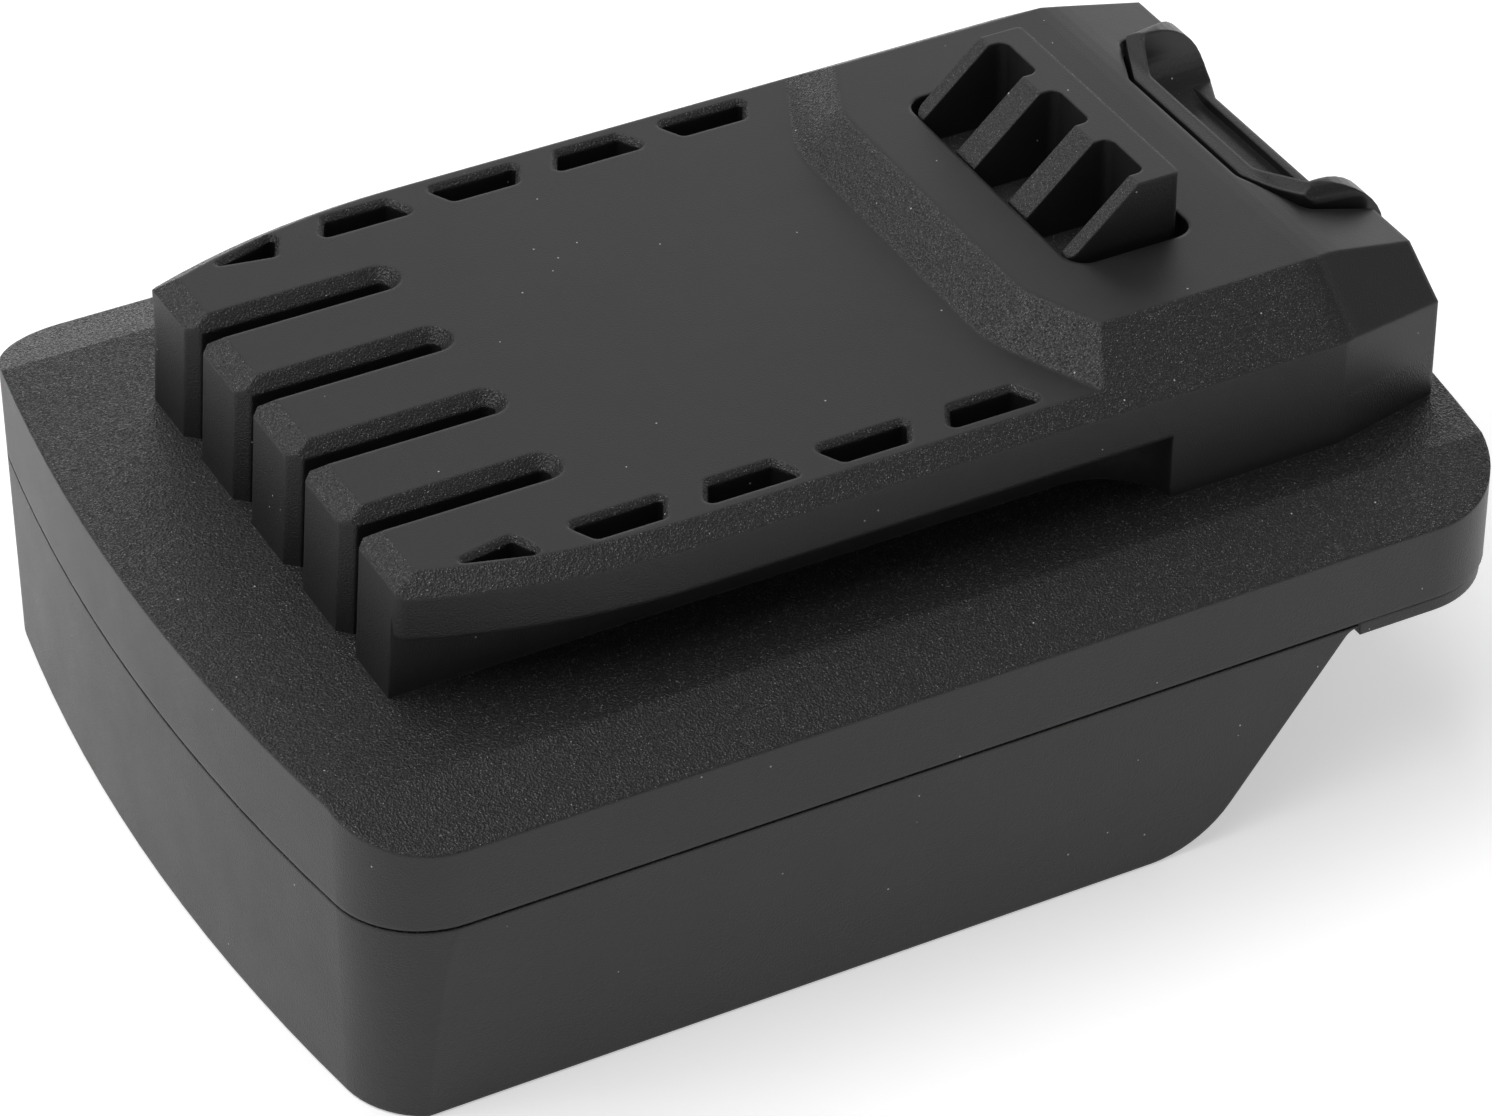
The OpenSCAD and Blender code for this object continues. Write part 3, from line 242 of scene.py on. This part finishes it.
def plastic_gloss(g, place, gloss, pits, coarse, sparkle, motes):
    """Roughness that changes with the pits of the grain, with handling and under dust."""
    rough = g.spread(coarse, gloss[1], gloss[0])
    rough = g.math("ADD", rough, g.math("MULTIPLY", sparkle, g.spread(pits, PIT_DULL, -PIT_DULL)))
    handled = g.spread(g.noise(place, *HANDLING), -HANDLING_DULL, HANDLING_DULL)
    rough = g.math("ADD", rough, handled)
    return g.math("ADD", rough, g.math("MULTIPLY", motes, MOTE_DULL))


def plastic(name, tone, grain, gloss, polish=None, edge_mm=0.4, dust=0.10):
    """Black moulded plastic with a spark-eroded grain.

    grain gives the relief in millimetres of sloped faces and of walls, and gloss the roughness of sloped
    faces and of walls and polished faces. polish is the height above which level faces are polished, and
    the place along X behind which all faces down to REAR_DROP_MM lower are, in millimetres.
    """
    g = Graph(name)
    coords = g.add("ShaderNodeTexCoord")
    place = coords.outputs["Object"]
    facing = g.add("ShaderNodeSeparateXYZ", {0: coords.outputs["Normal"]}).outputs["Z"]
    coarse = g.step(g.math("ABSOLUTE", facing), *SLOPE_FACING)
    matt = 1.0
    if polish is not None:
        matt = g.math("SUBTRACT", 1.0, polished(g, place, facing, polish))
        coarse = g.math("MULTIPLY", coarse, matt)
    pits = g.noise(place, *PITS)
    edges, rounded = edge_mask(g, edge_mm)
    motes = specks(g, place, MOTE_CELL_MM, MOTE_RADIUS_MM, dust)
    # Strength of the grain on coarse faces: it sets the painted highlights of crests and glints and the
    # roughness of the pits
    sparkle = g.math("MULTIPLY", coarse, min(1.0, grain[0] / FULL_GRAIN_MM))
    colour = plastic_colour(g, place, tone, pits, sparkle, edges, motes)
    rough = plastic_gloss(g, place, gloss, pits, coarse, sparkle, motes)
    kept = g.math("MULTIPLY", matt, 1.0 - POLISHED_SKIN)
    skin = g.math("MULTIPLY", g.noise(place, *SKIN), g.math("ADD", POLISHED_SKIN, kept))
    relief = g.math("MULTIPLY", pits, g.math("MULTIPLY", coarse, grain[0]))
    relief = g.math("ADD", relief, g.math("MULTIPLY", skin, grain[1]))
    shader = g.surface(colour, rough, g.bump(relief, 1.0, 1.0, rounded))
    shader.inputs["Specular IOR Level"].default_value = PLASTIC_SPECULAR
    return g.finish(shader)


# Metal: coordinates squeezed along X, which draws the streaks out, dull stains and bright edges.
# A noise is its size in millimetres, detail and roughness, and a bump its strength and depth.
STREAK_SCALE = (0.08, 1.0, 1.0)
STREAK_NOISE = (3.0, 0.6)
STREAK_DULL = (-0.08, 0.10)
STREAK_BUMP = (0.2, 0.02)
STAINS = (2.5, 3.0, 0.6)
STAIN_RANGE = (0.5, 0.75)
STAIN_DULL = 0.1
BRIGHT_EDGE_MM = 0.12
BRIGHT_EDGE_SHARE = 0.4
BRIGHT_EDGE_GAIN = 1.25


def metal(name, tone, stain, gloss, streak_mm):
    """Drawn or plated metal with fine streaks and a few dull stains."""
    g = Graph(name)
    place = g.add("ShaderNodeTexCoord").outputs["Object"]
    stretch = g.add("ShaderNodeMapping", {"Vector": place, "Scale": STREAK_SCALE})
    streaks = g.noise(stretch.outputs[0], streak_mm, *STREAK_NOISE)
    cloud = g.noise(place, *STAINS)
    edges, rounded = edge_mask(g, BRIGHT_EDGE_MM)
    colour = g.blend(g.step(cloud, *STAIN_RANGE), tone, stain)
    bright = g.math("MULTIPLY", edges, BRIGHT_EDGE_SHARE)
    colour = g.blend(bright, colour, shade(tone, BRIGHT_EDGE_GAIN))
    rough = g.spread(streaks, gloss + STREAK_DULL[0], gloss + STREAK_DULL[1])
    rough = g.math("ADD", rough, g.math("MULTIPLY", cloud, STAIN_DULL))
    shader = g.surface(colour, rough, g.bump(streaks, *STREAK_BUMP, rounded))
    shader.inputs["Metallic"].default_value = 1.0
    return g.finish(shader)


# Insulation: dull clouds and handling marks, with noises and bumps as for metal
DULLING = (1.6, 3.0, 0.6)
DULL_RANGE = (0.35, 0.7)
DULL_GAIN = 0.72
MARKS = (0.3, 2.0, 0.5)
MARK_GLOSS = (0.38, 0.56)
MARK_BUMP = (0.25, 0.03)


def insulation(name, tone):
    """Soft wire insulation with a slight sheen and handling marks."""
    g = Graph(name)
    place = g.add("ShaderNodeTexCoord").outputs["Object"]
    marks = g.noise(place, *MARKS)
    dull = g.step(g.noise(place, *DULLING), *DULL_RANGE)
    colour = g.blend(dull, tone, shade(tone, DULL_GAIN))
    rough = g.spread(marks, *MARK_GLOSS)
    return g.finish(g.surface(colour, rough, g.bump(marks, *MARK_BUMP)))


# Height of the polished level faces and place along X of the polished rear, in millimetres
COVER_POLISH = (38.6, 43.0)
LATCH_POLISH = (47.0, 60.0)
COVER = plastic(
    "cover_plastic",
    tone=(0.0089, 0.0086, 0.0086),
    grain=(0.11, 0.05),
    gloss=(0.43, 0.42),
    polish=COVER_POLISH,
    edge_mm=0.5,
)
HOUSING = plastic(
    "housing_plastic", tone=(0.0091, 0.0085, 0.0082), grain=(0.10, 0.06), gloss=(0.42, 0.42))
LATCH = plastic(
    "latch_plastic",
    tone=(0.014, 0.014, 0.0143),
    grain=(0.08, 0.04),
    gloss=(0.50, 0.42),
    polish=LATCH_POLISH,
    edge_mm=0.3,
)
BUTTON = plastic(
    "button_plastic", tone=(0.010, 0.010, 0.0105), grain=(0.02, 0.006), gloss=(0.34, 0.34), dust=0.03)
INNER = plastic("inner_plastic", tone=(0.060, 0.060, 0.063), grain=(0.06, 0.02), gloss=(0.5, 0.5))
CONTACT = metal(
    "contact_metal", tone=(0.74, 0.68, 0.55), stain=(0.62, 0.54, 0.40), gloss=0.30, streak_mm=0.10)
SPRING = metal(
    "spring_steel", tone=(0.56, 0.57, 0.59), stain=(0.42, 0.42, 0.43), gloss=0.28, streak_mm=0.06)
SCREW = metal(
    "screw_steel", tone=(0.50, 0.51, 0.53), stain=(0.40, 0.39, 0.36), gloss=0.34, streak_mm=0.08)
WIRES = {
    "positive": insulation("insulation_red", (0.55, 0.03, 0.03)),
    "temperature": insulation("insulation_yellow", (0.72, 0.55, 0.05)),
    "identity": insulation("insulation_white", (0.76, 0.76, 0.73)),
    "negative": insulation("insulation_black", (0.025, 0.025, 0.026)),
}

FINISHES = {
    "upper_cover": COVER,
    "lower_housing": HOUSING,
    "rear_plate": HOUSING,
    "latch": LATCH,
    "release_button": BUTTON,
    "contact_carrier": INNER,
    "terminal_block": INNER,
    "case_screws": SCREW,
    "rear_plate_screws": SCREW,
    "carrier_screws": SCREW,
    "terminal_screws": SCREW,
    "latch_spring_left": SPRING,
    "latch_spring_right": SPRING,
}
for kind, insulated in WIRES.items():
    FINISHES["clip_" + kind] = CONTACT
    FINISHES["blade_" + kind] = CONTACT
    FINISHES["wire_" + kind] = insulated
for node, finish in FINISHES.items():
    NODES[node].data.materials.clear()
    NODES[node].data.materials.append(finish)


# Rings of the springs and wires
COIL_SIDES = 12
LEAD_SIDES = 16
LEAD_STEPS = 40


def tube(name, points, radius, sides, finish):
    """Closed round tube along points, with frames carried on from ring to ring."""
    vertices = []
    faces = []
    normal = None
    count = len(points)
    for i, point in enumerate(points):
        way = (points[min(i + 1, count - 1)] - points[max(i - 1, 0)]).normalized()
        if normal is None:
            normal = way.orthogonal().normalized()
        normal = (normal - way * normal.dot(way)).normalized()
        side = way.cross(normal)
        for k in range(sides):
            a = 2 * math.pi * k / sides
            vertices.append(point + radius * (math.cos(a) * normal + math.sin(a) * side))
    for i in range(count - 1):
        for k in range(sides):
            a = i * sides + k
            b = i * sides + (k + 1) % sides
            faces.append((a, b, b + sides, a + sides))
    faces.append(tuple(reversed(range(sides))))
    faces.append(tuple(range((count - 1) * sides, count * sides)))
    mesh = bpy.data.meshes.new(name)
    mesh.from_pydata(vertices, [], faces)
    for polygon in mesh.polygons[:-2]:
        polygon.use_smooth = True
    mesh.materials.append(finish)
    piece = bpy.data.objects.new(name, mesh)
    bpy.context.scene.collection.objects.link(piece)
    return piece


def coil(node, turns, wire, rings):
    """Smooth spring in the space of its solid, carried by the case."""
    low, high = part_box(node)
    centre = (low + high) / 2
    radius = (high.y - low.y) / 2 - wire / 2
    base = low.z + wire / 2
    rise = high.z - low.z - wire
    points = []
    for i in range(turns * rings + 1):
        a = 2 * math.pi * i / rings
        z = base + rise * i / (turns * rings)
        points.append(Vector((centre.x + radius * math.cos(a), centre.y + radius * math.sin(a), z)))
    piece = tube(node + "_coil", points, wire / 2, COIL_SIDES, SPRING)
    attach(piece, "case")
    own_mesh(piece)
    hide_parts(node)


def lead(kind, radius):
    """Smooth wire from its blade to its clip."""
    node = "wire_" + kind
    low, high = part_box(node)
    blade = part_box("blade_" + kind)
    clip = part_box("clip_" + kind)
    start_y = (blade[0].y + blade[1].y) / 2
    end_y = (clip[0].y + clip[1].y) / 2
    centre_z = high.z - radius
    dip = high.z - low.z - 2 * radius
    points = []
    for i in range(LEAD_STEPS + 1):
        s = i / LEAD_STEPS
        ease = s * s * (3 - 2 * s)
        z = centre_z - dip * math.sin(math.pi * s) ** 2
        points.append(Vector((low.x + (high.x - low.x) * s, start_y + (end_y - start_y) * ease, z)))
    piece = tube(node + "_lead", points, radius, LEAD_SIDES, WIRES[kind])
    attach(piece, "case")
    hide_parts(node)


# Counts and sizes of the springs and wires
SPRING_TURNS = 6
SPRING_WIRE = 0.7 * MM
RINGS_PER_TURN = 32
POWER_WIRE_R = 1.1 * MM
SIGNAL_WIRE_R = 0.7 * MM
coil("latch_spring_left", SPRING_TURNS, SPRING_WIRE, RINGS_PER_TURN)
coil("latch_spring_right", SPRING_TURNS, SPRING_WIRE, RINGS_PER_TURN)
for kind in WIRES:
    lead(kind, POWER_WIRE_R if kind in ("positive", "negative") else SIGNAL_WIRE_R)


# Camera: place, aim and lens of the photograph
EYE = Vector((-178.66, -342.45, 297.36)) * MM
AZIMUTH = math.radians(-27.673)
ELEVATION = math.radians(36.47)
ROLL = math.radians(-0.251)
LENS = 137.22
SENSOR = 36.0
CLIP_START = 10 * MM
right = Vector((math.cos(AZIMUTH), math.sin(AZIMUTH), 0))
level = math.cos(ELEVATION)
back = Vector((math.sin(AZIMUTH) * level, -math.cos(AZIMUTH) * level, math.sin(ELEVATION)))
up = back.cross(right)
turned_right = math.cos(ROLL) * right + math.sin(ROLL) * up
turned_up = back.cross(turned_right)
camera_data = bpy.data.cameras.new("camera")
camera_data.sensor_fit = "HORIZONTAL"
camera_data.sensor_width = SENSOR
camera_data.lens = LENS
camera_data.clip_start = CLIP_START
camera = bpy.data.objects.new("camera", camera_data)
turn = Matrix((turned_right, turned_up, back)).transposed().to_4x4()
camera.matrix_world = Matrix.Translation(EYE) @ turn
bpy.context.scene.collection.objects.link(camera)
bpy.context.scene.camera = camera


def softbox(name, place, aim, size, power):
    """Rectangular area lamp that faces a point."""
    data = bpy.data.lights.new(name, "AREA")
    data.shape = "RECTANGLE"
    data.size = size[0]
    data.size_y = size[1]
    data.energy = power
    lamp = bpy.data.objects.new(name, data)
    lamp.location = place
    lamp.rotation_euler = (Vector(place) - Vector(aim)).to_track_quat("Z", "Y").to_euler()
    bpy.context.scene.collection.objects.link(lamp)


# Lamps: name, place and size in metres, power in watts, all aimed at the middle of the object
MIDDLE = (0.0, 0.0, 0.025)
LAMPS = (
    ("top_light", (-0.34, 0.16, 1.05), (1.5, 1.0), 9.0),
    ("back_light", (0.80, 0.95, 0.44), (1.6, 0.8), 3.0),
    ("left_light", (-0.71, 0.34, 0.93), (0.5, 0.5), 1.8),
    ("side_light", (1.2, 0.2, 0.24), (0.5, 0.4), 0.8),
)
for lamp_name, place, size, power in LAMPS:
    softbox(lamp_name, place, MIDDLE, size, power)

# World: plain grey room
ROOM_LIGHT = 0.26
world = bpy.data.worlds.new("studio")
bpy.context.scene.world = world
world.use_nodes = True
room = world.node_tree.nodes["Background"]
room.inputs["Color"].default_value = (1.0, 1.0, 1.0, 1.0)
room.inputs["Strength"].default_value = ROOM_LIGHT


# Stage: height of the floor, its glow for the camera, its paper, and its reach, wall and bend in metres
FLOOR_Z = -0.2 * MM
FLOOR_GLOW = 0.44
FIBRES = (0.8, 3.0, 0.6)
PAPER_TONES = ((0.80, 0.80, 0.80), (0.84, 0.84, 0.84))
STUDIO_REACH = 2.4
STUDIO_WALL = 1.0
STUDIO_BEND = 0.4


def floor_finish():
    """Pale floor that shows the camera white where it is lit and keeps a soft shadow."""
    g = Graph("floor_paper")
    place = g.add("ShaderNodeTexCoord").outputs["Object"]
    tone = g.blend(g.noise(place, *FIBRES), *PAPER_TONES)
    paper = g.add("ShaderNodeBsdfDiffuse", {"Color": tone})
    glow = g.add("ShaderNodeEmission", {"Strength": FLOOR_GLOW})
    dark = g.add("ShaderNodeEmission", {"Strength": 0.0})
    path = g.add("ShaderNodeLightPath")
    seen = g.math("MAXIMUM", path.outputs["Is Camera Ray"], path.outputs["Is Glossy Ray"])
    seen = g.math("MAXIMUM", seen, path.outputs["Is Transmission Ray"])
    lit = g.add("ShaderNodeMixShader", {0: seen, 1: dark.outputs[0], 2: glow.outputs[0]})
    both = g.add("ShaderNodeAddShader", {0: paper.outputs[0], 1: lit.outputs[0]})
    return g.finish(both)


def studio(reach, wall, bend):
    """Floor disc that turns up into a low wall all round, as one sheet."""
    profile = [(0.0, 0.0), (reach - bend, 0.0)]
    bend_steps = 8
    for i in range(1, bend_steps + 1):
        a = math.pi / 2 * i / bend_steps
        profile.append((reach - bend + bend * math.sin(a), bend - bend * math.cos(a)))
    profile.append((reach, wall))
    sectors = 64
    vertices = [(0.0, 0.0, FLOOR_Z)]
    faces = []
    for radius, rise in profile[1:]:
        for k in range(sectors):
            a = 2 * math.pi * k / sectors
            vertices.append((radius * math.cos(a), radius * math.sin(a), FLOOR_Z + rise))
    for k in range(sectors):
        after = (k + 1) % sectors
        faces.append((0, 1 + k, 1 + after))
        for i in range(len(profile) - 2):
            near = 1 + i * sectors
            far = near + sectors
            faces.append((near + k, far + k, far + after, near + after))
    mesh = bpy.data.meshes.new("studio")
    mesh.from_pydata(vertices, [], faces)
    mesh.polygons.foreach_set("use_smooth", [True] * len(faces))
    mesh.materials.append(floor_finish())
    sheet = bpy.data.objects.new("studio", mesh)
    bpy.context.scene.collection.objects.link(sheet)


studio(STUDIO_REACH, STUDIO_WALL, STUDIO_BEND)

bpy.context.scene.view_settings.view_transform = "Standard"
